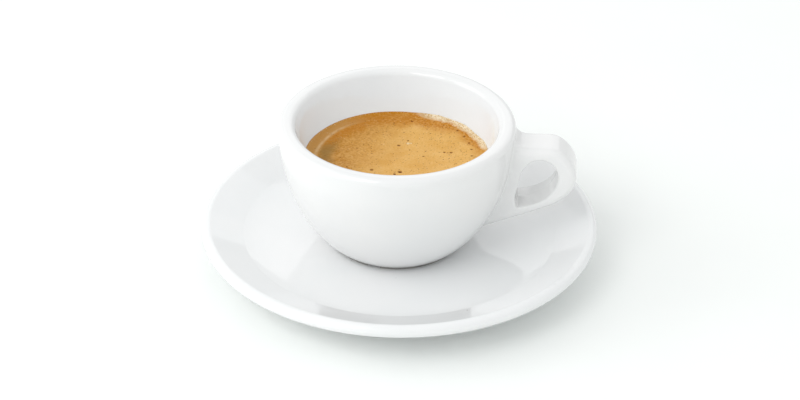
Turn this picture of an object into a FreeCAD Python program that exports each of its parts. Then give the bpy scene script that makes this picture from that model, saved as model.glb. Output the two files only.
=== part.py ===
"""Espresso shot: a thick-walled porcelain cup of espresso standing on its saucer.

Millimetres, +Z up.  The origin is on the surface that the saucer stands on, under
the middle of the saucer.  The cup's handle points along +X.  Outlines are drawn as
sections in the XZ plane: (distance from the axis, height).
"""
import FreeCAD, Part
import math
import os

V = FreeCAD.Vector

# ---- saucer ------------------------------------------------------------------
SAUCER_RADIUS = 60.0
SAUCER_RIM_HEIGHT = 12.5        # middle of the rounded rim above the table
SAUCER_RIM_THICKNESS = 3.8
SAUCER_RIM_SLOPE = 22.0         # degrees, where the rounded rim turns into the dish
SAUCER_BREAK_RADIUS = 47.5      # the dish starts to level out here
SAUCER_BREAK_HEIGHT = 10.5
SAUCER_BREAK_SLOPE = 17.0       # degrees, just inside that circle
SAUCER_WELL_RADIUS = 23.0       # flat middle that the cup stands on
SAUCER_WELL_HEIGHT = 8.3
SAUCER_FLOOR_THICKNESS = 4.7
SAUCER_FOOT_RADIUS = 35.0       # outside of the ring under the saucer
SAUCER_FOOT_WIDTH = 3.4
SAUCER_FOOT_TAPER = 1.6         # the ring widens this much towards its root
SAUCER_FOOT_TOP = 2.6           # where the ring runs into the underside
SAUCER_FOOT_ROUND = 0.8

# ---- cup: heights are above the cup's own foot ---------------------------------
CUP_OFFSET_X = -0.9             # the cup stands this far off the saucer's middle
CUP_RADIUS = 35.4               # at the lip and upper side
CUP_HEIGHT = 40.2
CUP_LIP_WIDTH = 5.05
CUP_LIP_OUTER_ROUND = 1.9
CUP_LIP_INNER_ROUND = 1.9
CUP_WALL_LEAN = 14.0            # degrees, inside wall below the lip
CUP_STRAIGHT_WALL = 17.0        # how far the inside wall keeps that lean
CUP_STRAIGHT_SIDE = 14.4        # how far the outside stays upright below the lip
CUP_BELLY_REACH = 9.9           # the outside leaves the foot in this direction
CUP_BELLY_RISE = 7.6
CUP_BOWL_REACH = 26.0           # how far out the bowl's floor stays nearly flat
CUP_FOOT_RADIUS = 19.6
CUP_FOOT_HEIGHT = 0.9
CUP_FOOT_WIDTH = 3.2
CUP_FOOT_UNDERCUT = 0.9         # the ring draws in this much up to its root
CUP_FOOT_ROUND = 0.4
CUP_FLOOR_THICKNESS = 4.6       # between the recess under the foot and the bowl

NOTCH_ANGLE = -106.0            # degrees round from +X
NOTCH_WIDTH = 4.0
NOTCH_HEIGHT = 0.6

# ---- drink ---------------------------------------------------------------------
CREMA_LEVEL = 27.0              # top of the drink above the cup's foot
CREMA_THICKNESS = 2.6
MENISCUS_HEIGHT = 0.5           # how far the crema creeps up the wall
MENISCUS_WIDTH = 1.6

# ---- handle: (distance from the cup's axis, drop below the handle's flat top) ----
HANDLE_TOP = 35.1               # flat top above the cup's foot
HANDLE_WIDTH = 12.0             # across, along Y
HANDLE_EDGE_ROUND = 2.1
HANDLE_ROOT_ROUND = 1.4         # soft corner where the handle leaves the cup's side
HANDLE_FLARE = [(34.6, -3.8), (35.6, -1.0), (37.0, 0.0), (39.5, 0.0)]
HANDLE_EAR = [
    (45.0, -0.1),
    (48.8, 0.8),
    (51.8, 3.7),
    (53.65, 7.5),
    (53.75, 11.4),
    (51.1, 16.0),
    (45.9, 19.6),
]
HANDLE_TAIL = [(45.9, 19.6), (40.5, 22.1), (34.5, 24.3), (24.2, 28.7)]
HANDLE_INSIDE_WALL = [(24.2, 28.7), (20.0, 20.0), (30.5, 2.0), (34.6, -3.8)]
FINGER_HOLE = [
    (36.7, 19.9),
    (41.2, 18.7),
    (45.6, 15.9),
    (48.1, 11.8),
    (48.3, 7.4),
    (46.2, 4.3),
    (42.8, 3.3),
    (39.5, 4.7),
    (37.4, 8.2),
    (36.3, 13.6),
    (35.9, 18.4),
]
FINGER_HOLE_MIDDLE = (42.4, 11.4)
FINGER_HOLE_RIDGE = 0.5         # the hole is this much tighter halfway through
FINGER_HOLE_ROUND = 0.6

FULL_TURN = 360.0
SEAM_ANGLE = 150.0              # where a turned surface closes on itself
AXIS = V(0, 0, 1)


# ---- small helpers -----------------------------------------------------------
def at(radius, height):
    """A point of a section, drawn in the XZ plane."""
    return V(radius, 0, height)


def line(a, b):
    return Part.LineSegment(a, b).toShape()


def chain(points):
    """Straight edges from each point to the next."""
    return [line(a, b) for a, b in zip(points, points[1:])]


def direction(degrees):
    return at(math.cos(math.radians(degrees)), math.sin(math.radians(degrees)))


def arc(centre, radius, start_deg, end_deg):
    """An arc of a section, through its own middle."""
    angles = [start_deg, (start_deg + end_deg) / 2, end_deg]
    return Part.Arc(*[centre + direction(a) * radius for a in angles]).toBSpline().toShape()


def bezier(*poles):
    curve = Part.BezierCurve()
    curve.setPoles(list(poles))
    return curve.toShape()


def spline(points, closed=False):
    curve = Part.BSplineCurve()
    curve.interpolate(points, PeriodicFlag=closed)
    return curve.toShape()


def start_of(edge):
    return edge.valueAt(edge.FirstParameter)


def end_of(edge):
    return edge.valueAt(edge.LastParameter)


def turned(edges):
    """One solid of revolution from a closed section, with its seam away from +X."""
    face = Part.Face(Part.Wire(Part.__sortEdges__(edges)))
    solid = face.revolve(V(0, 0, 0), AXIS, FULL_TURN)
    solid.rotate(V(0, 0, 0), AXIS, SEAM_ANGLE)
    return solid


# ---- saucer ------------------------------------------------------------------
def saucer_top(rim_end):
    """From the flat well out to the rounded rim, met in the rim's own direction."""
    slope = direction(SAUCER_RIM_SLOPE)
    well_edge = at(SAUCER_WELL_RADIUS, SAUCER_WELL_HEIGHT)
    level_out = at(SAUCER_BREAK_RADIUS, SAUCER_BREAK_HEIGHT)
    outer_dish = bezier(rim_end, rim_end - slope * 5, level_out)
    inner_dish = bezier(
        level_out,
        level_out - direction(SAUCER_BREAK_SLOPE) * 7,
        well_edge + at(9, 0),
        well_edge,
    )
    return [outer_dish, inner_dish, line(well_edge, at(0, SAUCER_WELL_HEIGHT))]


def saucer_underside(rim_start):
    """From the rim in to the foot ring, round the ring and into the recess."""
    outside = SAUCER_FOOT_RADIUS
    inside = outside - SAUCER_FOOT_WIDTH
    rounding = SAUCER_FOOT_ROUND
    recess = SAUCER_WELL_HEIGHT - SAUCER_FLOOR_THICKNESS
    foot_top = at(outside, SAUCER_FOOT_TOP)
    belly = bezier(rim_start, rim_start - at(6.5, 2.6), foot_top + at(6, 1), foot_top)
    outer_corner = arc(at(outside - rounding, rounding), rounding, 0, -90)
    inner_corner = arc(at(inside + rounding, rounding), rounding, -90, -180)
    recess_edge = at(inside - SAUCER_FOOT_TAPER, recess)
    return [
        belly,
        line(foot_top, start_of(outer_corner)),
        outer_corner,
        line(end_of(outer_corner), start_of(inner_corner)),
        inner_corner,
        line(end_of(inner_corner), recess_edge),
        line(recess_edge, at(0, recess)),
    ]


def saucer():
    round_radius = SAUCER_RIM_THICKNESS / 2
    rim_middle = at(SAUCER_RADIUS - round_radius, SAUCER_RIM_HEIGHT)
    rim_below = arc(rim_middle, round_radius, -75, 0)
    rim_above = arc(rim_middle, round_radius, 0, 90 + SAUCER_RIM_SLOPE)
    top = saucer_top(end_of(rim_above))
    underside = saucer_underside(start_of(rim_below))
    axis_edge = line(end_of(underside[-1]), end_of(top[-1]))
    return turned([rim_below, rim_above] + top + underside + [axis_edge])


# ---- cup body ------------------------------------------------------------------
def cup_outside():
    """From the top of the lip down the side to the foot."""
    lip_middle = at(CUP_RADIUS - CUP_LIP_OUTER_ROUND, CUP_HEIGHT - CUP_LIP_OUTER_ROUND)
    lip = arc(lip_middle, CUP_LIP_OUTER_ROUND, 90, 0)
    base = at(CUP_FOOT_RADIUS + CUP_FOOT_ROUND, CUP_FOOT_HEIGHT)
    shoulder = end_of(lip)
    side = bezier(
        shoulder,
        shoulder - at(0, CUP_STRAIGHT_SIDE),
        base + at(CUP_BELLY_REACH, CUP_BELLY_RISE),
        base,
    )
    return [line(at(0, CUP_HEIGHT), start_of(lip)), lip, side]


def cup_foot():
    """The undercut foot ring and the shallow recess inside it."""
    rounding = CUP_FOOT_ROUND
    inner = CUP_FOOT_RADIUS - CUP_FOOT_WIDTH
    base = at(CUP_FOOT_RADIUS + rounding, CUP_FOOT_HEIGHT)
    undercut = at(CUP_FOOT_RADIUS - CUP_FOOT_UNDERCUT, CUP_FOOT_HEIGHT)
    outer_corner = arc(at(CUP_FOOT_RADIUS - rounding, rounding), rounding, 0, -90)
    inner_corner = arc(at(inner + rounding, rounding), rounding, -90, -180)
    recess_edge = at(inner - rounding, CUP_FOOT_HEIGHT)
    return [
        line(base, undercut),
        line(undercut, start_of(outer_corner)),
        outer_corner,
        line(end_of(outer_corner), start_of(inner_corner)),
        inner_corner,
        line(end_of(inner_corner), recess_edge),
        line(recess_edge, at(0, CUP_FOOT_HEIGHT)),
    ]


def cup_body():
    """The outside of the cup as a full solid, foot ring included, still unhollowed."""
    axis_edge = line(at(0, CUP_FOOT_HEIGHT), at(0, CUP_HEIGHT))
    return turned(cup_outside() + cup_foot() + [axis_edge])


# ---- bowl ------------------------------------------------------------------------
def lip_inner_round():
    centre = at(CUP_RADIUS - CUP_LIP_WIDTH + CUP_LIP_INNER_ROUND,
                CUP_HEIGHT - CUP_LIP_INNER_ROUND)
    return arc(centre, CUP_LIP_INNER_ROUND, 90, 180 - CUP_WALL_LEAN)


def bowl_floor():
    return CUP_FOOT_HEIGHT + CUP_FLOOR_THICKNESS


def bowl():
    """The hollow of the cup, with the lip's inner rounding, ready to be cut away."""
    above = CUP_HEIGHT + 1
    rounding = lip_inner_round()
    wall_top = end_of(rounding)
    wall = bezier(
        wall_top,
        wall_top - direction(90 - CUP_WALL_LEAN) * CUP_STRAIGHT_WALL,
        at(CUP_BOWL_REACH, bowl_floor()),
        at(0, bowl_floor()),
    )
    lip_top = start_of(rounding)
    closing = chain([lip_top, at(lip_top.x, above), at(0, above), at(0, bowl_floor())])
    return turned([wall, rounding] + closing)


# ---- handle ----------------------------------------------------------------------
def on_handle(spot):
    """A handle point, from its distance out and its drop below the flat top."""
    return at(spot[0], HANDLE_TOP - spot[1])


def strap_outline():
    """The handle from the side: a flat top, a round ear and a long tail underneath."""
    flare = bezier(*[on_handle(spot) for spot in HANDLE_FLARE])
    ear = spline([on_handle(spot) for spot in HANDLE_EAR])
    tail = bezier(*[on_handle(spot) for spot in HANDLE_TAIL])
    crown = line(end_of(flare), start_of(ear))
    inside_wall = chain([on_handle(spot) for spot in HANDLE_INSIDE_WALL])
    return Part.Wire(Part.__sortEdges__([flare, crown, ear, tail] + inside_wall))


def finger_hole_outline(tighter, y):
    """Round above, narrowing to a corner by the cup; drawn in from all round."""
    middle = on_handle(FINGER_HOLE_MIDDLE)
    points = []
    for spot in FINGER_HOLE:
        outwards = on_handle(spot) - middle
        drawn_in = middle + outwards * (1 - tighter / outwards.Length)
        points.append(drawn_in + V(0, y, 0))
    return Part.Wire(spline(points, closed=True))


def finger_hole():
    """The gap for a fingertip, tightest on a soft ridge halfway through the handle."""
    side = HANDLE_WIDTH / 2
    middle = finger_hole_outline(FINGER_HOLE_RIDGE, 0)
    near = Part.makeLoft([finger_hole_outline(0, -side), middle], True, True)
    far = Part.makeLoft([middle, finger_hole_outline(0, side)], True, True)
    return near, far


def strap():
    """The handle before its edges are softened, running on into the cup's wall."""
    slab = Part.Face(strap_outline()).extrude(V(0, HANDLE_WIDTH, 0))
    slab.translate(V(0, -HANDLE_WIDTH / 2, 0))
    near, far = finger_hole()
    return slab.cut(near).cut(far).Solids[0]


def side_edges(solid):
    """Edges on the handle's two flat sides that lie outside the cup."""
    side = HANDLE_WIDTH / 2
    return [
        e for e in solid.Edges
        if e.BoundBox.YLength < 0.01
        and abs(abs(e.BoundBox.YMin) - side) < 0.01
        and e.BoundBox.XMax > CUP_RADIUS - 0.4
    ]


def root_edges(solid):
    """The two long corners where the handle's sides meet the outside of the cup."""
    long_corner = 15.0
    return [
        e for e in solid.Edges
        if e.BoundBox.ZLength > long_corner
        and e.BoundBox.YLength < 2.0
        and CUP_FOOT_RADIUS < e.BoundBox.XMin
        and e.BoundBox.XMax < CUP_RADIUS + 0.1
    ]


def body_with_handle():
    """Cup and handle as one piece of clay, the handle's edges and root made soft."""
    joined = cup_body().fuse(strap()).Solids[0]
    hole_edges = [e for e in side_edges(joined) if e.isClosed()]
    joined = joined.makeFillet(FINGER_HOLE_ROUND, hole_edges)
    outer_edges = [e for e in side_edges(joined) if not e.isClosed()]
    joined = joined.makeFillet(HANDLE_EDGE_ROUND, outer_edges)
    return joined.makeFillet(HANDLE_ROOT_ROUND, root_edges(joined))


def drain_notch():
    """A short slot under the foot ring that lets dishwater out."""
    clearance = 2.0
    inner = CUP_FOOT_RADIUS - CUP_FOOT_WIDTH - clearance
    length = CUP_FOOT_WIDTH + 2 * clearance
    slot = Part.makeBox(length, NOTCH_WIDTH, 2 * NOTCH_HEIGHT)
    slot.translate(V(inner, -NOTCH_WIDTH / 2, -NOTCH_HEIGHT))
    slot.rotate(V(0, 0, 0), AXIS, NOTCH_ANGLE)
    return slot


def cup():
    return body_with_handle().cut(bowl()).cut(drain_notch())


# ---- drink -----------------------------------------------------------------------
def filled_to(surface_edges):
    """The part of the bowl below a surface drawn from the axis outwards."""
    last = end_of(surface_edges[-1])
    closing = chain([
        last,
        at(CUP_RADIUS, last.z),
        at(CUP_RADIUS, 0),
        at(0, 0),
        start_of(surface_edges[0]),
    ])
    return turned(surface_edges + closing).common(bowl())


def crema_surface():
    """Flat, with a small meniscus where the foam creeps up the wall."""
    wall_top = end_of(lip_inner_round())
    lean = math.tan(math.radians(CUP_WALL_LEAN))
    wall = wall_top.x - (wall_top.z - CREMA_LEVEL) * lean
    flat_end = at(wall - MENISCUS_WIDTH, CREMA_LEVEL)
    turn_up = at(wall - MENISCUS_WIDTH / 3, CREMA_LEVEL)
    inside_clay = at(wall + MENISCUS_WIDTH / 4, CREMA_LEVEL + MENISCUS_HEIGHT)
    return [line(at(0, CREMA_LEVEL), flat_end), bezier(flat_end, turn_up, inside_clay)]


def coffee_surface():
    level = CREMA_LEVEL - CREMA_THICKNESS
    return [line(at(0, level), at(CUP_RADIUS - 1, level))]


def coffee():
    return filled_to(coffee_surface())


def crema():
    return filled_to(crema_surface()).cut(filled_to(coffee_surface()))


# ---- build -----------------------------------------------------------------------
def write(name, shape):
    solids = shape.Solids
    if len(solids) != 1 or not solids[0].isValid():
        raise ValueError(name + " is not one sound solid")
    solids[0].exportStep("parts/" + name + ".step")
    box = solids[0].BoundBox
    heights = round(box.ZMin, 2), round(box.ZMax, 2)
    print(name, "volume", round(solids[0].Volume), "between heights", *heights)


def main():
    os.makedirs("parts", exist_ok=True)
    write("saucer", saucer())
    place = V(CUP_OFFSET_X, 0, SAUCER_WELL_HEIGHT)
    for name, shape in {"cup": cup(), "coffee": coffee(), "crema": crema()}.items():
        shape.translate(place)
        write(name, shape)


main()
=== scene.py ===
# %% [markdown]
# # An espresso shot in its cup
#
# The object is a small thick-walled porcelain cup with a short shot of espresso in it,
# standing on its saucer.  The cup and the saucer are turned shapes under a clear glaze,
# and their solids come ready made in the frame, so they stay as they are and only get a
# glaze.  The foam on the coffee is another matter: a flat solid disc can't look like
# crema, so it is replaced by a modelled skin of foam with burst bubbles in it.

# %% The frame
import bpy
import bmesh
import math
import numpy as np
from mathutils import Matrix, Vector


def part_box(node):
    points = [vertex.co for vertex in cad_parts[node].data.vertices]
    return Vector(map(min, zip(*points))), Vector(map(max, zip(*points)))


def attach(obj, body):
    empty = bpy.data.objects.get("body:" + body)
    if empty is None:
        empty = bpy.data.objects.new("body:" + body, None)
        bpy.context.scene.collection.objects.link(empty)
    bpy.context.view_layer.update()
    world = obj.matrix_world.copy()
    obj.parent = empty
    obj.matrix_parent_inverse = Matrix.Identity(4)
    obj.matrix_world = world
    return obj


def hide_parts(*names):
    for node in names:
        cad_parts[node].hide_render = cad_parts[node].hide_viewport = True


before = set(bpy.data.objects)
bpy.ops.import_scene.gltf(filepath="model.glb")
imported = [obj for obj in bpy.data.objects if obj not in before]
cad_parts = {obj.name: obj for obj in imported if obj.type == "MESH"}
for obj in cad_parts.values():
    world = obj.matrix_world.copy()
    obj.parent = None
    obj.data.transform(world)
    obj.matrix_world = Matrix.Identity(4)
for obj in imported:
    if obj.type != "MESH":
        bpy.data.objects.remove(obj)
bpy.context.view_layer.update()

MM = 0.001
print("nodes in the frame:", sorted(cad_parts))

# %% [markdown]
# ## Sizes that the looks need
#
# The foam has to meet the wall of the cup all the way round, so it must know where the
# cup stands, how high the drink comes and how the wall leans.  These could be typed in
# again, but then a change to the solids would tear the foam from the wall.  The crema's
# own box gives its place, level and radius instead, and only the lean is repeated.

# %% Where the cup and the drink are
crema_low, crema_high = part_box("crema")
cup_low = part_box("cup")[0]
AXIS = Vector(((crema_low.x + crema_high.x) / 2, (crema_low.y + crema_high.y) / 2, 0))
MENISCUS = 0.5 * MM
LEVEL = crema_high.z - MENISCUS
FOAM_BOTTOM = crema_low.z
WALL_LEAN = math.tan(math.radians(14.0))
WALL_RADIUS = (crema_high.x - crema_low.x) / 2 - MENISCUS * WALL_LEAN
print("drink level", round(LEVEL / MM, 2), "mm, wall radius there", round(WALL_RADIUS / MM, 2), "mm")

# %% [markdown]
# ## Camera
#
# The view is that of somebody sitting at the table with the cup a little below them: a
# long lens, looking down by about thirty degrees, with the handle turned a few degrees
# towards the viewer.  The camera is placed by angles and a distance from one aim point,
# so that each number means something on its own.

# %% Place the camera
VIEW_ELEVATION = math.radians(31.54)
VIEW_AZIMUTH = math.radians(4.0)
VIEW_ROLL = math.radians(0.47)
VIEW_DISTANCE = 798.3 * MM
LENS, SENSOR_WIDTH = 117.0, 36.0
AIM_FROM_AXIS = Vector((1.04, 9.24, 15.05)) * MM
AIM = AXIS + Matrix.Rotation(VIEW_AZIMUTH, 3, "Z") @ AIM_FROM_AXIS


def place_camera():
    data = bpy.data.cameras.new("table_view")
    data.lens = LENS
    data.sensor_width = SENSOR_WIDTH
    camera = bpy.data.objects.new("table_view", data)
    bpy.context.scene.collection.objects.link(camera)
    turn = Matrix.Rotation(VIEW_AZIMUTH, 4, "Z")
    tilt = Matrix.Rotation(math.pi / 2 - VIEW_ELEVATION, 4, "X")
    roll = Matrix.Rotation(VIEW_ROLL, 4, "Z")
    back_off = Matrix.Translation((0, 0, VIEW_DISTANCE))
    camera.matrix_world = Matrix.Translation(AIM) @ turn @ tilt @ roll @ back_off
    bpy.context.scene.camera = camera
    return camera


camera = place_camera()
print("camera at", [round(c, 3) for c in camera.matrix_world.translation])

# %% [markdown]
# ## Small tools for shader nodes
#
# A material is a little machine of nodes.  Making each node by hand takes three lines,
# so two helpers do the dull part: one makes a node with its settings, the other puts a
# value into a socket, or a link if it is handed another node's output.

# %% Node helpers
def feed(tree, socket, source):
    """Give an input socket a value, or a link where the source is an output socket."""
    if isinstance(source, bpy.types.NodeSocket):
        tree.links.new(source, socket)
    else:
        socket.default_value = source


def add(tree, kind, inputs=None, **settings):
    made = tree.nodes.new(kind)
    for name, value in settings.items():
        setattr(made, name, value)
    for name, source in (inputs or {}).items():
        feed(tree, made.inputs[name], source)
    return made


def mix_colour(tree, mask, below, above):
    """A colour that goes from one to the other as the mask goes from 0 to 1."""
    made = add(tree, "ShaderNodeMix", data_type="RGBA")
    feed(tree, made.inputs[0], mask)
    feed(tree, made.inputs[6], below)
    feed(tree, made.inputs[7], above)
    return made.outputs[2]


def scaled(tree, value, low, high, to_low=0.0, to_high=1.0):
    """A number moved from one range to another, and held inside it."""
    ends = {"From Min": low, "From Max": high, "To Min": to_low, "To Max": to_high}
    made = add(tree, "ShaderNodeMapRange", {"Value": value, **ends}, clamp=True)
    return made.outputs["Result"]


def maths(tree, operation, a, b=0.0):
    made = add(tree, "ShaderNodeMath", operation=operation)
    feed(tree, made.inputs[0], a)
    feed(tree, made.inputs[1], b)
    return made.outputs[0]


def noise(tree, where, size, detail=2.0):
    """Soft random clouds; size is how wide one of them is, in metres."""
    inputs = {"Vector": where, "Scale": 1 / size, "Detail": detail}
    return add(tree, "ShaderNodeTexNoise", inputs).outputs["Fac"]


def object_place(tree):
    return add(tree, "ShaderNodeTexCoord").outputs["Object"]


def new_group(name, takes, gives):
    """An empty node group with named sockets, and its two end nodes."""
    tree = bpy.data.node_groups.new(name, "ShaderNodeTree")
    for label, kind, value in takes:
        socket = tree.interface.new_socket(label, in_out="INPUT", socket_type=kind)
        socket.default_value = value
    for label, kind in gives:
        tree.interface.new_socket(label, in_out="OUTPUT", socket_type=kind)
    return tree, add(tree, "NodeGroupInput"), add(tree, "NodeGroupOutput")


def new_material(name):
    """A fresh material with only its Principled shader."""
    material = bpy.data.materials.new(name)
    material.use_nodes = True
    return material, material.node_tree, material.node_tree.nodes["Principled BSDF"]


def place_group(tree, group, **values):
    made = add(tree, "ShaderNodeGroup", node_tree=group)
    for label, source in values.items():
        feed(tree, made.inputs[label.replace("_", " ")], source)
    return made


def bump(tree, shader, height, depth):
    """Fine relief: depth is how deep the height runs, in metres."""
    made = add(tree, "ShaderNodeBump", {"Height": height, "Distance": depth, "Strength": 1.0})
    feed(tree, shader.inputs["Normal"], made.outputs["Normal"])


COLOUR, NUMBER = "NodeSocketColor", "NodeSocketFloat"
print("helpers ready")

# %% [markdown]
# ## Porcelain glaze
#
# Cafe porcelain is white clay under a clear glaze that melts into a thin glass.  Three
# things tell it from white plastic: where the glaze lies thick it has a faint cool tint,
# its surface is never quite flat, so reflections waver a little, and here and there a
# grain of iron in the clay has burnt through as a dark pinhead.  A painted texture could
# hold all this, but it would need unwrapping and would blur close by.  Noise in the
# object's own space needs neither.  The cup and the saucer share it, so it is a group.

# %% The glaze group
POOL_SIZE, WEAR_SIZE, RIPPLE_SIZE, PEEL_SIZE = 26 * MM, 9 * MM, 7 * MM, 1.6 * MM
SPECKS_PER_METRE = 105.0
GLOSSIEST, DULLEST = 0.035, 0.075
PEEL_SHARE = 0.12


def glaze_group():
    takes = [
        ("Body Colour", COLOUR, (0.8, 0.81, 0.8, 1)),
        ("Pool Colour", COLOUR, (0.74, 0.77, 0.77, 1)),
        ("Speck Colour", COLOUR, (0.16, 0.12, 0.09, 1)),
        ("Speck Radius", NUMBER, 0.02),
    ]
    gives = [("Colour", COLOUR), ("Roughness", NUMBER), ("Height", NUMBER)]
    tree, start, end = new_group("porcelain_glaze", takes, gives)
    where = object_place(tree)

    pooling = scaled(tree, noise(tree, where, POOL_SIZE), 0.35, 0.7)
    tinted = mix_colour(tree, pooling, start.outputs["Body Colour"], start.outputs["Pool Colour"])

    grains = add(tree, "ShaderNodeTexVoronoi", {"Vector": where, "Scale": SPECKS_PER_METRE})
    speck = maths(tree, "LESS_THAN", grains.outputs["Distance"], start.outputs["Speck Radius"])
    feed(tree, end.inputs["Colour"], mix_colour(tree, speck, tinted, start.outputs["Speck Colour"]))

    wear = noise(tree, where, WEAR_SIZE, 4.0)
    feed(tree, end.inputs["Roughness"], scaled(tree, wear, 0.3, 0.75, GLOSSIEST, DULLEST))

    ripple = noise(tree, where, RIPPLE_SIZE, 1.0)
    peel = maths(tree, "MULTIPLY", noise(tree, where, PEEL_SIZE, 1.0), PEEL_SHARE)
    feed(tree, end.inputs["Height"], maths(tree, "ADD", ripple, peel))
    return tree


GLAZE = glaze_group()
print("glaze group takes", [s.name for s in GLAZE.interface.items_tree if s.in_out == "INPUT"])

# %% [markdown]
# ## Bare foot ring
#
# A glazed pot would stick to the kiln shelf, so the potter wipes the glaze off the ring
# that it stands on.  The bare clay there is matt, a little yellower, and grey where it
# has been dragged over counters; its colour is also painted much darker than bare clay
# is, as painted shade of the narrow gap under the cup's belly.  A separate ring of
# geometry isn't needed: everything lower than a given height is bare, so a mask made
# from the height does it.

# %% The bare clay group
# Both clay colours are painted dark: partly grey wear, partly painted shade of the gap under the cup.
SCUFFED_CLAY_AND_SHADE = (0.24, 0.235, 0.23, 1)
RAGGED_SIZE, RAGGED_BY, GLAZE_EDGE, SCUFF_SIZE = 1.2 * MM, 0.15 * MM, 0.12 * MM, 2.5 * MM
MATT = 0.7


def bare_ring_group():
    takes = [
        ("Glazed Colour", COLOUR, (0.8, 0.8, 0.8, 1)),
        ("Glazed Roughness", NUMBER, 0.05),
        # Painted dark: partly the bare clay's grey, partly painted shade under the cup's belly.
        ("Clay And Shade Colour", COLOUR, (0.34, 0.33, 0.31, 1)),
        ("Bare Below", NUMBER, 0.0005),
    ]
    tree, start, end = new_group("bare_ring", takes, [("Colour", COLOUR), ("Roughness", NUMBER)])
    where = object_place(tree)
    height = add(tree, "ShaderNodeSeparateXYZ", {"Vector": where}).outputs["Z"]
    ragged = scaled(tree, noise(tree, where, RAGGED_SIZE), 0.3, 0.7, -RAGGED_BY, RAGGED_BY)
    over = maths(tree, "SUBTRACT", maths(tree, "ADD", height, ragged), start.outputs["Bare Below"])
    bare = scaled(tree, over, 0.0, GLAZE_EDGE, 1.0, 0.0)

    scuffs = scaled(tree, noise(tree, where, SCUFF_SIZE, 6.0), 0.45, 0.7)
    clay_and_shade = mix_colour(tree, scuffs, start.outputs["Clay And Shade Colour"], SCUFFED_CLAY_AND_SHADE)
    feed(tree, end.inputs["Colour"], mix_colour(tree, bare, start.outputs["Glazed Colour"], clay_and_shade))
    gloss = start.outputs["Glazed Roughness"]
    rough = maths(tree, "ADD", gloss, maths(tree, "MULTIPLY", bare, MATT))
    feed(tree, end.inputs["Roughness"], rough)
    return tree


BARE_RING = bare_ring_group()
print("bare ring group made")

# %% [markdown]
# ## Glazing the cup and the saucer
#
# Both pieces come from the same kiln, so both materials are the same two groups, with
# their own numbers: the saucer has more specks, and each knows the height of its ring.
# Gloss that is the same all over, such as how strongly glass bends light, is set on the
# shader itself.  The saucer's glaze mirrors a little less than the cup's.

# %% Porcelain for the two solids
GLASS_BEND = 1.54
RIPPLE_DEPTH = 0.02 * MM
CUP_GLOSS, SAUCER_GLOSS = 0.5, 0.42


def porcelain(name, body, pool, speck_radius, bare_below, gloss):
    material, tree, shader = new_material(name)
    glaze = place_group(
        tree, GLAZE, Body_Colour=body, Pool_Colour=pool, Speck_Radius=speck_radius
    )
    ring = place_group(
        tree,
        BARE_RING,
        Glazed_Colour=glaze.outputs["Colour"],
        Glazed_Roughness=glaze.outputs["Roughness"],
        Bare_Below=bare_below,
    )
    feed(tree, shader.inputs["Base Color"], ring.outputs["Colour"])
    feed(tree, shader.inputs["Roughness"], ring.outputs["Roughness"])
    shader.inputs["IOR"].default_value = GLASS_BEND
    shader.inputs["Specular IOR Level"].default_value = gloss
    bump(tree, shader, glaze.outputs["Height"], RIPPLE_DEPTH)
    return material


def give(node, material):
    """Put one finish on a node from the frame, whose mesh stays untouched."""
    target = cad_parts[node]
    target.data.materials.clear()
    target.data.materials.append(material)


# On the cup, the dark bare band also paints the shade of the gap under its belly.
CUP_BARE_BAND, SAUCER_BARE_BAND = 0.8 * MM, 0.5 * MM
CUP_WHITE, CUP_POOL = (0.825, 0.825, 0.822, 1), (0.80, 0.808, 0.81, 1)
SAUCER_WHITE, SAUCER_POOL = (0.85, 0.855, 0.857, 1), (0.825, 0.838, 0.843, 1)
CUP_SPECKS, SAUCER_SPECKS = 0.013, 0.022
cup_bare = cup_low.z + CUP_BARE_BAND
give("cup", porcelain("cup_glaze", CUP_WHITE, CUP_POOL, CUP_SPECKS, cup_bare, CUP_GLOSS))
give("saucer", porcelain(
    "saucer_glaze", SAUCER_WHITE, SAUCER_POOL, SAUCER_SPECKS, SAUCER_BARE_BAND, SAUCER_GLOSS
))
print("glazed: cup, saucer")

# %% [markdown]
# ## The coffee under the foam
#
# Under the foam lies the coffee itself, nearly black, with fine solids drifting in it.
# It only shows where a bubble has burst right through, but it is a real piece, so it gets
# a real finish: a deep brown that clouds a little, and a wet surface.

# %% Liquid coffee
WATER_BEND = 1.34
COFFEE_DEEP, COFFEE_CLOUD = (0.018, 0.007, 0.003, 1), (0.045, 0.018, 0.006, 1)


def liquid_coffee():
    material, tree, shader = new_material("coffee")
    clouds = scaled(tree, noise(tree, object_place(tree), 5 * MM, 5.0), 0.35, 0.7)
    brown = mix_colour(tree, clouds, COFFEE_DEEP, COFFEE_CLOUD)
    feed(tree, shader.inputs["Base Color"], brown)
    feed(tree, shader.inputs["Roughness"], scaled(tree, clouds, 0, 1, 0.05, 0.12))
    shader.inputs["IOR"].default_value = WATER_BEND
    return material


give("coffee", liquid_coffee())
print("coffee finished")

# %% [markdown]
# ## The lie of the crema
#
# Crema is a foam of very fine bubbles with oil and coffee dust in it.  Seen close, it has
# several kinds of place: a tan field that turns darker and more amber on the left, partly
# its own colour and partly painted shade from the left wall, a rusty border where oil
# gathers, a pale froth that hangs on the wall where the jet hit it, a darker patch of
# painted shade inside the ring on the left, and a tan ring on the left, one step higher,
# that clung to the wall as the level sank, with a painted highlight along its crest.
# Each is described by a function of the place, from 0 where it isn't to 1 where it is,
# because both the shape and the colour of the foam need the same answer.

# %% Places in the foam
def smooth_step(x, low, high):
    t = np.clip((x - low) / (high - low), 0, 1)
    return t * t * (3 - 2 * t)


def turned_from(angle, towards):
    """How far an angle in degrees lies from another, going the short way round."""
    return np.abs((angle - towards + 180) % 360 - 180)


CLOUD_GRID = 64


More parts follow.
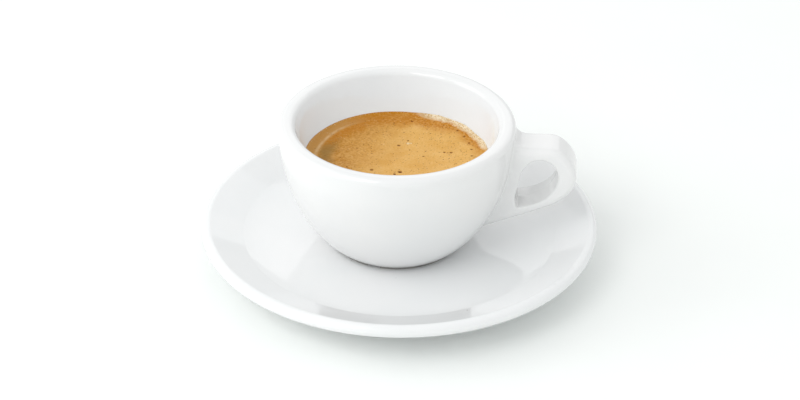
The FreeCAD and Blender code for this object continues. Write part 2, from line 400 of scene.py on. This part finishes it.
def soft_noise(x, y, cell, seed):
    """Seeded clouds from -1 to 1, with each cloud about one cell wide."""
    grid = np.random.default_rng(seed).uniform(-1, 1, (CLOUD_GRID, CLOUD_GRID))
    u, v = x / cell + CLOUD_GRID / 2, y / cell + CLOUD_GRID / 2
    i, j = np.floor(u).astype(int), np.floor(v).astype(int)
    s, t = smooth_step(u - i, 0, 1), smooth_step(v - j, 0, 1)

    def corner(a, b):
        return grid[(i + a) % CLOUD_GRID, (j + b) % CLOUD_GRID]

    near = corner(0, 0) * (1 - s) + corner(1, 0) * s
    far = corner(0, 1) * (1 - s) + corner(1, 1) * s
    return near * (1 - t) + far * t


def polar(x, y):
    return np.hypot(x, y), np.degrees(np.arctan2(y, x))


# Where each place lies round the wall, and how far it spreads each way, in degrees.
FROTH_MIDDLE, FROTH_SPREAD = 47.0, 33.0
RING_MIDDLE, RING_SPREAD = 168.0, 52.0
RUST_MIDDLE = 88.0
# The darker patch placed here is painted shade.
SHADE_PATCH_MIDDLE, SHADE_PATCH_SPREAD = 172.0, 34.0
# How far the ring reaches in from the wall.
RING_WIDTH = 3.9 * MM


def froth_sector(angle):
    """1 along the part of the wall where froth hangs."""
    away = turned_from(angle, FROTH_MIDDLE)
    return 1 - smooth_step(away, FROTH_SPREAD - 9, FROTH_SPREAD + 5)


def froth_here(x, y):
    r, angle = polar(x, y)
    ragged = soft_noise(x, y, 1.7 * MM, 3) * 0.35 * MM + soft_noise(x, y, 0.6 * MM, 4) * 0.2 * MM
    wide = froth_sector(angle) * (1.15 * MM + 0.35 * MM * np.sin(np.radians(angle * 5)))
    depth = WALL_RADIUS - r + ragged
    return froth_sector(angle) * (1 - smooth_step(depth, wide * 0.4, wide + 0.9 * MM))


def ring_sector(angle, spread):
    return 1 - smooth_step(turned_from(angle, RING_MIDDLE), spread - 22, spread + 10)


def beyond_ring(x, y):
    """How far out from the ring's inner side a place is."""
    return np.hypot(x, y) - WALL_RADIUS + RING_WIDTH + soft_noise(x, y, 6 * MM, 5) * 0.25 * MM


def ring_here(x, y):
    """1 on the raised ring of foam that clings to the wall away from the froth."""
    sector = ring_sector(polar(x, y)[1], RING_SPREAD)
    return sector * smooth_step(beyond_ring(x, y), -0.3 * MM, 0.35 * MM)


def crest_highlight_here(x, y):
    """1 along a painted highlight on the ring's raised edge, just outside its inner side."""
    sector = ring_sector(polar(x, y)[1], RING_SPREAD - 12)
    broken = 0.6 + 0.4 * soft_noise(x, y, 1.1 * MM, 13)
    return sector * broken * np.exp(-((beyond_ring(x, y) - 0.75 * MM) / (0.45 * MM)) ** 2)


def rust_here(x, y):
    """1 in the oily border behind the froth and along the far wall."""
    r, angle = polar(x, y)
    sector = 1 - smooth_step(turned_from(angle, RUST_MIDDLE), 62, 88)
    wander = soft_noise(x, y, 4 * MM, 6) * 1.1 * MM + soft_noise(x, y, 1.5 * MM, 7) * 0.4 * MM
    start = (18.0 + 3.5 * smooth_step(x, 6 * MM, 20 * MM)) * MM
    return sector * smooth_step(r + wander, start, start + 5.5 * MM)


def amber_and_shade_here(x, y):
    """From 0 in the pale right half to about 1 in the darker left half, which is partly the foam's own
    deeper colour and partly painted shade.
    """
    wander = soft_noise(x, y, 8 * MM, 9) * 3 * MM + soft_noise(x, y, 2.5 * MM, 10) * 1.2 * MM
    return 0.85 * smooth_step(-x + 0.25 * y + wander, -2 * MM, 20 * MM)


def shade_patch_here(x, y):
    """1 on a darker patch inside the ring on the left, which is painted shade."""
    r, angle = polar(x, y)
    across = (WALL_RADIUS - RING_WIDTH - 2.2 * MM - r) / (3.4 * MM)
    along = turned_from(angle, SHADE_PATCH_MIDDLE) / SHADE_PATCH_SPREAD
    return 1 - smooth_step(np.hypot(across, along) + soft_noise(x, y, 3 * MM, 12) * 0.2, 0.3, 1.1)


sample = np.radians(np.arange(0, 360, 5))
near_wall = WALL_RADIUS - 0.2 * MM
rim_x, rim_y = near_wall * np.cos(sample), near_wall * np.sin(sample)
print("froth takes", int(100 * froth_here(rim_x, rim_y).mean()), "% of the edge,",
      "ring", int(100 * ring_here(rim_x, rim_y).mean()), "%")

# %% [markdown]
# ## Burst bubbles
#
# Where a bubble has burst it leaves a small crater, dark at the bottom where the coffee
# shows through.  All of them could be scattered at random, but the eye counts the few
# large ones, so those have set places: a group at the front and some nearer the handle,
# with a row of lesser ones inside the froth.  The many small ones come from a seeded
# random generator, thicker towards the handle, so the foam is the same each time.

# %% Craters, placed and scattered
BIG_CRATERS = [  # (x, y, radius) in millimetres from the cup's axis
    (-7, -7, 0.6),
    (1.5, -7.5, 0.8),
    (0, -9, 0.5),
    (0, 8, 0.6),
    (14, 5, 0.45),
    (16, 5, 0.55),
    (3, 23, 0.45),
]
TRAIL_CRATERS, MIDDLING_CRATERS, FINE_CRATERS = 5, 13, 1100
TRAIL_START_ANGLE, TRAIL_STEP_ANGLE = 9, 9.5
TRAIL_START, TRAIL_STEP = 22.6 * MM, 0.65 * MM
FIELD_REACH = 25.5 * MM


def big_craters():
    return [(x * MM, y * MM, radius * MM) for x, y, radius in BIG_CRATERS]


def trail_of_craters():
    """A row of craters just inside the froth, next to the handle."""
    spots = []
    for step in range(TRAIL_CRATERS):
        angle = math.radians(TRAIL_START_ANGLE + TRAIL_STEP_ANGLE * step)
        r = TRAIL_START + TRAIL_STEP * step
        spots.append((r * math.cos(angle), r * math.sin(angle), 0.4 * MM))
    return spots


def scattered_craters(seed, count, radii, shares):
    """Craters of a few sizes at random places, thicker towards the handle."""
    rng = np.random.default_rng(seed)
    spots = []
    while len(spots) < count:
        x, y = rng.uniform(-FIELD_REACH, FIELD_REACH, 2)
        leaning = 0.45 + 0.55 * smooth_step(x + 0.4 * y, -20 * MM, 18 * MM)
        if math.hypot(x, y) < FIELD_REACH and rng.random() < leaning:
            spots.append((x, y, rng.choice(radii, p=shares) * MM))
    return spots


def all_craters():
    middling = scattered_craters(17, MIDDLING_CRATERS, [0.24, 0.28, 0.34], [0.4, 0.4, 0.2])
    fine = scattered_craters(11, FINE_CRATERS, [0.09, 0.11, 0.13, 0.18], [0.4, 0.3, 0.2, 0.1])
    return big_craters() + trail_of_craters() + middling + fine


craters = np.array(all_craters())
print(len(craters), "burst bubbles, the widest", round(2 * craters[:, 2].max() / MM, 2), "mm")

# %% [markdown]
# ## The skin of foam
#
# The foam could be a flat disc with a bumpy material, but craters, the froth's climb up
# the wall and the step of the ring all change its outline, so they are real geometry.
# A height for every place is the simplest way to have them: the mesh is a fine wheel of
# rings and spokes, and each point is lifted by one function.  The wheel runs out to the
# wall, then down along it and closes underneath, so the foam is a whole solid skin.

# %% Height of the foam
FROTH_CLIMB = 0.85 * MM
RING_STEP = 0.16 * MM


def creep(angle):
    """How high the foam stands at the wall, above the level of the drink."""
    wobble = 0.18 * np.sin(np.radians(angle * 9)) + 0.12 * np.sin(np.radians(angle * 17 + 40))
    climb = FROTH_CLIMB * (1 + wobble) - MENISCUS
    return MENISCUS * (1 + 0.12 * np.sin(np.radians(angle * 7))) + froth_sector(angle) * climb


def crater_depth(x, y):
    """The sum of all craters, and how much of a crater each place is."""
    depth, inside = np.zeros_like(x), np.zeros_like(x)
    for cx, cy, radius in craters:
        reach = 2.2 * radius
        near = (np.abs(x - cx) < reach) & (np.abs(y - cy) < reach)
        away = np.hypot(x[near] - cx, (y[near] - cy) * 1.15) / radius
        bowl = 1 - smooth_step(away, 0.35, 1.05)
        lip = np.exp(-((away - 1.25) / 0.22) ** 2)
        depth[near] += (0.75 * bowl - 0.10 * lip) * radius
        inside[near] = np.maximum(inside[near], 1 - smooth_step(away, 0.55, 1.05))
    return depth, inside


def foam_height(x, y):
    r, angle = polar(x, y)
    from_wall = np.maximum(WALL_RADIUS - r, 0)
    spread = 0.55 * MM + 0.35 * MM * froth_sector(angle)
    swell = soft_noise(x, y, 7 * MM, 1) * 0.05 * MM + soft_noise(x, y, 1.3 * MM, 2) * 0.012 * MM
    lumps = froth_here(x, y) * (0.12 * MM + soft_noise(x, y, 0.55 * MM, 8) * 0.05 * MM)
    step = RING_STEP * ring_here(x, y)
    edge = creep(angle) * np.exp(-((from_wall / spread) ** 1.4))
    return LEVEL + swell + lumps + step + edge - crater_depth(x, y)[0]


print("foam stands", round(float(creep(np.array([FROTH_MIDDLE]))[0]) / MM, 2), "mm up the wall in the froth")

# %% Build the skin
RINGS, SPOKES = 108, 720
INTO_CLAY = 0.06 * MM


def wheel_of_points():
    """Rings of points from the middle to the wall, each at the foam's height."""
    angle = np.arange(SPOKES) * 2 * math.pi / SPOKES
    reach = WALL_RADIUS + creep(np.degrees(angle)) * WALL_LEAN + INTO_CLAY
    share = np.linspace(0, 1, RINGS + 1)[1:, None]
    x, y = share * reach * np.cos(angle), share * reach * np.sin(angle)
    return x, y, foam_height(x, y)


def wall_rows(top_z):
    """Rows of points from the foam's edge down along the leaning wall."""
    angle = np.arange(SPOKES) * 2 * math.pi / SPOKES
    rows = []
    for share in (0.5, 1.0):
        z = top_z + (FOAM_BOTTOM - top_z) * share
        radius = WALL_RADIUS + (z - LEVEL) * WALL_LEAN + INTO_CLAY * (1 - share)
        rows.append((radius * np.cos(angle), radius * np.sin(angle), z))
    return rows


def stitched(row_count):
    """Quads between neighbouring rows of a wheel whose first point is the middle."""
    first = 1 + np.arange(row_count - 1)[:, None] * SPOKES
    here = np.arange(SPOKES)[None, :]
    after = (here + 1) % SPOKES
    quads = np.stack([first + here, first + SPOKES + here,
                      first + SPOKES + after, first + after], axis=-1)
    return quads.reshape(-1, 4).tolist()


def foam_mesh():
    x, y, z = wheel_of_points()
    rows = [np.stack([x[i], y[i], z[i]], axis=-1) for i in range(RINGS)]
    rows += [np.stack(row, axis=-1) for row in wall_rows(z[-1])]
    middle = [[0, 0, float(foam_height(np.zeros(1), np.zeros(1))[0])], [0, 0, FOAM_BOTTOM]]
    points = np.vstack([middle[:1]] + rows + [middle[1:]])
    points[:, 0] += AXIS.x
    points[:, 1] += AXIS.y
    last_row = 1 + (len(rows) - 1) * SPOKES
    ends = len(points) - 1
    hub = [(0, 1 + i, 1 + (i + 1) % SPOKES) for i in range(SPOKES)]
    base = [(ends, last_row + (i + 1) % SPOKES, last_row + i) for i in range(SPOKES)]
    mesh = bpy.data.meshes.new("crema_foam")
    mesh.from_pydata(points.tolist(), [], hub + stitched(len(rows)) + base)
    mesh.shade_smooth()
    return mesh


def paint(mesh, name, values):
    """Store one number per point, which the material reads by name."""
    layer = mesh.attributes.new(name, "FLOAT", "POINT")
    layer.data.foreach_set("value", values.astype(np.float32))


foam = bpy.data.objects.new("crema_foam", foam_mesh())
bpy.context.scene.collection.objects.link(foam)
places = np.empty(len(foam.data.vertices) * 3)
foam.data.vertices.foreach_get("co", places)
places = places.reshape(-1, 3)
here_x, here_y = places[:, 0] - AXIS.x, places[:, 1] - AXIS.y
for name, values in {
    "crater": crater_depth(here_x, here_y)[1],
    "froth": froth_here(here_x, here_y),
    "ring": ring_here(here_x, here_y),
    "crest_highlight": crest_highlight_here(here_x, here_y),
    "rust": rust_here(here_x, here_y),
    "amber_and_shade": amber_and_shade_here(here_x, here_y),
    "shade_patch": shade_patch_here(here_x, here_y),
}.items():
    paint(foam.data, name, values)
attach(foam, "root")
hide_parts("crema")
print("foam has", len(foam.data.polygons), "faces")

# %% [markdown]
# ## Grain of the foam
#
# The bubbles of the field are too small to model one by one: they show as a fine grain of
# lighter and darker tan.  The froth and its loose bubbles have the same grain, only paler
# and coarser, so it is a group with the two colours and the grain's size as inputs.

# %% The grain group
def grain_group():
    takes = [
        ("Light Colour", COLOUR, (0.66, 0.38, 0.12, 1)),
        ("Dark Colour", COLOUR, (0.5, 0.24, 0.05, 1)),
        ("Grain Scale", NUMBER, 2200.0),
    ]
    tree, start, end = new_group("foam_grain", takes, [("Colour", COLOUR), ("Height", NUMBER)])
    where = object_place(tree)
    scale = start.outputs["Grain Scale"]
    cells = add(tree, "ShaderNodeTexVoronoi", {"Vector": where, "Scale": scale})
    dust = add(tree, "ShaderNodeTexNoise", {"Vector": where, "Scale": scale, "Detail": 3.0})
    clouds = noise(tree, where, 6 * MM, 3.0)
    grain = maths(tree, "MULTIPLY", dust.outputs["Fac"], 0.55)
    blotch = maths(tree, "MULTIPLY", clouds, 0.45)
    darkness = scaled(tree, maths(tree, "ADD", grain, blotch), 0.34, 0.64)
    dark, light = start.outputs["Dark Colour"], start.outputs["Light Colour"]
    feed(tree, end.inputs["Colour"], mix_colour(tree, darkness, light, dark))
    domes = maths(tree, "SUBTRACT", 1.0, cells.outputs["Distance"])
    feed(tree, end.inputs["Height"], domes)
    return tree


GRAIN = grain_group()
print("grain group made")

# %% [markdown]
# ## Colouring the crema
#
# The kinds of place were stored on the mesh, so the material only has to lay them over
# each other: field, then the amber and painted shade of the left half, the patch of
# painted shade, rusty border, ring, the painted highlight on its crest, froth and the
# craters last.  Crema has a wet film on top, which a coat gives: a second thin shiny
# layer over the matt foam.
# Strong tan would also be thrown on the white wall around it, more than a real cup shows
# in daylight, so the light that the foam bounces onward is made greyer.

# %% Crema material
def named(tree, name):
    """A number stored on the mesh's points."""
    return add(tree, "ShaderNodeAttribute", attribute_name=name).outputs["Fac"]


FIELD_LIGHT, FIELD_DARK = (0.77, 0.465, 0.15, 1), (0.67, 0.35, 0.075, 1)
# Of these two browns, the first is partly the foam's own colour and partly painted shade on the left; the
# second is painted shade.
AMBER_AND_SHADE, SHADE_PATCH_BROWN = (0.47, 0.195, 0.018, 1), (0.30, 0.165, 0.035, 1)
RUST, RING_TAN = (0.51, 0.19, 0.010, 1), (0.54, 0.27, 0.07, 1)
# This pale colour is a painted highlight along the ring's crest.
RING_CREST_HIGHLIGHT = (0.78, 0.58, 0.33, 1)
FROTH_CREAM, FROTH_SHADE = (0.93, 0.82, 0.64, 1), (0.88, 0.72, 0.48, 1)
CRATER_BROWN = (0.11, 0.012, 0.001, 1)
FOAM_ON_WALLS = (0.76, 0.78, 0.80, 1)


FIELD_GRAIN, FROTH_GRAIN = 1900.0, 1500.0
GRAIN_DEPTH = 0.035 * MM
FOAM_GLOSS = 0.22
GREYER_BOUNCE = 0.9


def crema_material():
    material, tree, shader = new_material("crema")
    field = place_group(
        tree, GRAIN, Light_Colour=FIELD_LIGHT, Dark_Colour=FIELD_DARK, Grain_Scale=FIELD_GRAIN
    )
    cream = place_group(
        tree, GRAIN, Light_Colour=FROTH_CREAM, Dark_Colour=FROTH_SHADE, Grain_Scale=FROTH_GRAIN
    )
    where = object_place(tree)
    speckled = scaled(tree, noise(tree, where, 0.7 * MM, 4.0), 0.36, 0.64, 0.5, 1.2)
    colour = field.outputs["Colour"]
    layers = [
        # Painted shade on the left half, partly the foam's own deeper colour.
        ("amber_and_shade", speckled, AMBER_AND_SHADE),
        # Painted shade on a patch inside the ring.
        ("shade_patch", 0.8, SHADE_PATCH_BROWN),
        ("rust", speckled, RUST),
        ("ring", speckled, RING_TAN),
        # A painted highlight along the ring's crest.
        ("crest_highlight", 0.7, RING_CREST_HIGHLIGHT),
    ]
    for place, strength, tint in layers:
        mask = maths(tree, "MULTIPLY", named(tree, place), strength)
        colour = mix_colour(tree, mask, colour, tint)
    colour = mix_colour(tree, named(tree, "froth"), colour, cream.outputs["Colour"])
    colour = mix_colour(tree, named(tree, "crater"), colour, CRATER_BROWN)
    bounced = add(tree, "ShaderNodeLightPath").outputs["Is Diffuse Ray"]
    colour = mix_colour(tree, maths(tree, "MULTIPLY", bounced, GREYER_BOUNCE), colour, FOAM_ON_WALLS)
    feed(tree, shader.inputs["Base Color"], colour)
    wet = scaled(tree, noise(tree, where, 3 * MM, 3.0), 0.3, 0.7, 0.42, 0.6)
    feed(tree, shader.inputs["Roughness"], wet)
    shader.inputs["IOR"].default_value = WATER_BEND
    shader.inputs["Specular IOR Level"].default_value = FOAM_GLOSS
    feed(tree, shader.inputs["Coat Weight"], scaled(tree, named(tree, "crater"), 0, 1, 0.08, 0.0))
    shader.inputs["Coat Roughness"].default_value = 0.16
    shader.inputs["Coat IOR"].default_value = WATER_BEND
    bump(tree, shader, field.outputs["Height"], GRAIN_DEPTH)
    return material


foam.data.materials.append(crema_material())
print("crema finished")

# %% [markdown]
# ## Loose bubbles
#
# In the froth, along the wall and here and there on the field, single bubbles are large
# enough to see as little domes.  One half ball is made once and copied by arithmetic to
# every place, and all copies are joined in one mesh, which is lighter than hundreds of
# objects.  Each sits on the foam at the height that the same function gives.

# %% Where the bubbles sit
FROTH_BUBBLES, EDGE_BUBBLES, FIELD_BUBBLES = 620, 700, 90
LARGE_BUBBLES = [(2.7 * MM, 9.2 * MM, 0.5 * MM), (3.6 * MM, 9.4 * MM, 0.3 * MM)]
PAST_FROTH = 4
SQUAT = 0.62


def froth_bubbles(rng, count):
    spots = []
    while len(spots) < count:
        reach = FROTH_SPREAD + PAST_FROTH
        angle = rng.uniform(FROTH_MIDDLE - reach, FROTH_MIDDLE + reach)
        r = WALL_RADIUS - rng.uniform(0.05, 1.9) * MM
        x, y = r * math.cos(math.radians(angle)), r * math.sin(math.radians(angle))
        if rng.random() < froth_here(np.array([x]), np.array([y]))[0]:
            spots.append((x, y, rng.choice([0.08, 0.11, 0.14, 0.2]) * MM))
    return spots


def edge_bubbles(rng, count):
    """A fine row of bubbles caught in the corner between foam and wall."""
    spots = []
    for angle in rng.uniform(0, 2 * math.pi, count):
        r = WALL_RADIUS - rng.uniform(0.05, 0.45) * MM
        spots.append((r * math.cos(angle), r * math.sin(angle), rng.uniform(0.05, 0.10) * MM))
    return spots


def field_bubbles(rng, count):
    spots = list(LARGE_BUBBLES)
    for _ in range(count):
        angle, r = rng.uniform(0, 2 * math.pi), 26 * MM * math.sqrt(rng.random())
        spots.append((r * math.cos(angle), r * math.sin(angle), rng.uniform(0.06, 0.13) * MM))
    return spots


def half_ball():
    """The upper half of a unit ball, as points and triangles."""
    ball = bmesh.new()
    bmesh.ops.create_icosphere(ball, subdivisions=2, radius=1.0)
    low = [v for v in ball.verts if v.co.z < -0.3]
    bmesh.ops.delete(ball, geom=low, context="VERTS")
    ball.verts.index_update()
    points = np.array([v.co for v in ball.verts])
    faces = np.array([[v.index for v in f.verts] for f in ball.faces])
    ball.free()
    return points, faces


def bubbles_mesh(spots):
    points, faces = half_ball()
    spots = np.array(spots)
    base = foam_height(spots[:, 0], spots[:, 1])
    middles = np.stack([spots[:, 0] + AXIS.x, spots[:, 1] + AXIS.y, base], axis=-1)
    squat = points * np.array([1, 1, SQUAT])
    all_points = middles[:, None, :] + squat[None] * spots[:, 2][:, None, None]
    all_faces = faces[None] + (np.arange(len(spots)) * len(points))[:, None, None]
    mesh = bpy.data.meshes.new("crema_bubbles")
    mesh.from_pydata(all_points.reshape(-1, 3).tolist(), [], all_faces.reshape(-1, 3).tolist())
    mesh.shade_smooth()
    return mesh


rng = np.random.default_rng(23)
spots = froth_bubbles(rng, FROTH_BUBBLES) + edge_bubbles(rng, EDGE_BUBBLES)
spots += field_bubbles(rng, FIELD_BUBBLES)
bubbles = bpy.data.objects.new("crema_bubbles", bubbles_mesh(spots))
bpy.context.scene.collection.objects.link(bubbles)
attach(bubbles, "root")
print(len(spots), "bubbles,", len(bubbles.data.polygons), "faces")

# %% [markdown]
# A bubble's film takes the grain group once more, with its own pair of colours and
# coarser grains than the foam.

# %% Bubble film
FILM_PALE, FILM_TAN = (0.90, 0.73, 0.44, 1), (0.62, 0.36, 0.13, 1)
FILM_GRAIN, FILM_GLOSS = 1100.0, 0.3


def bubble_film():
    material, tree, shader = new_material("bubble_film")
    film = place_group(
        tree, GRAIN, Light_Colour=FILM_PALE, Dark_Colour=FILM_TAN, Grain_Scale=FILM_GRAIN
    )
    feed(tree, shader.inputs["Base Color"], film.outputs["Colour"])
    sheen = noise(tree, object_place(tree), 0.8 * MM)
    feed(tree, shader.inputs["Roughness"], scaled(tree, sheen, 0.3, 0.7, 0.15, 0.3))
    shader.inputs["IOR"].default_value = WATER_BEND
    shader.inputs["Specular IOR Level"].default_value = FILM_GLOSS
    return material


bubbles.data.materials.append(bubble_film())
print("bubbles finished")

# %% [markdown]
# ## Table, light and world
#
# White china on a white table is all about soft light.  A large panel low on the left
# gives the round shapes their slow shading.  A smaller one, higher and nearer the front,
# reaches down into the cup and casts a soft shadow behind the cup and its handle.  A wide
# panel behind is only there to be seen in the glaze, where it draws the outline of the
# cup on the saucer.  The world around is nearly white and fills the shadows.

# %% The table
TABLE_HALF = 3.0
TABLE_WHITE, TABLE_MOTTLE = (0.95, 0.97, 0.955, 1), (0.94, 0.96, 0.945, 1)


def pale_table():
    half = TABLE_HALF
    mesh = bpy.data.meshes.new("table")
    corners = [(-half, -half, 0), (half, -half, 0), (half, half, 0), (-half, half, 0)]
    mesh.from_pydata(corners, [], [(0, 1, 2, 3)])
    table = bpy.data.objects.new("table", mesh)
    bpy.context.scene.collection.objects.link(table)
    material, tree, shader = new_material("pale_table")
    mottle = scaled(tree, noise(tree, object_place(tree), 30 * MM), 0.3, 0.7)
    feed(tree, shader.inputs["Base Color"], mix_colour(tree, mottle, TABLE_WHITE, TABLE_MOTTLE))
    shader.inputs["Roughness"].default_value = 0.7
    mesh.materials.append(material)


pale_table()
print("table laid")

# %% Lamps and world
def panel(name, place, size, power):
    """A rectangular lamp that faces the cup."""
    data = bpy.data.lights.new(name, "AREA")
    data.shape = "RECTANGLE"
    data.size, data.size_y = size
    data.energy = power
    lamp = bpy.data.objects.new(name, data)
    bpy.context.scene.collection.objects.link(lamp)
    lamp.location = place
    lamp.rotation_mode = "QUATERNION"
    lamp.rotation_quaternion = (Vector(place) - AXIS).to_track_quat("Z", "Y")
    lamp.visible_camera = False
    return lamp


SKY_COLOUR = (0.99, 1.0, 1.0, 1)


def pale_world(strength):
    world = bpy.data.worlds.new("studio")
    bpy.context.scene.world = world
    world.use_nodes = True
    background = world.node_tree.nodes["Background"]
    background.inputs["Color"].default_value = SKY_COLOUR
    background.inputs["Strength"].default_value = strength


panel("window_left", (-1.05, -0.08, 0.58), (0.8, 0.8), 3.4)
window_back = panel("window_back", (0.25, 1.30, 0.85), (1.8, 0.7), 2.4)
window_back.visible_diffuse = False
panel("window_front", (-0.50, -0.70, 0.85), (0.6, 0.6), 3.0)
pale_world(0.87)
bpy.context.scene.view_settings.view_transform = "Standard"
print("lights on")
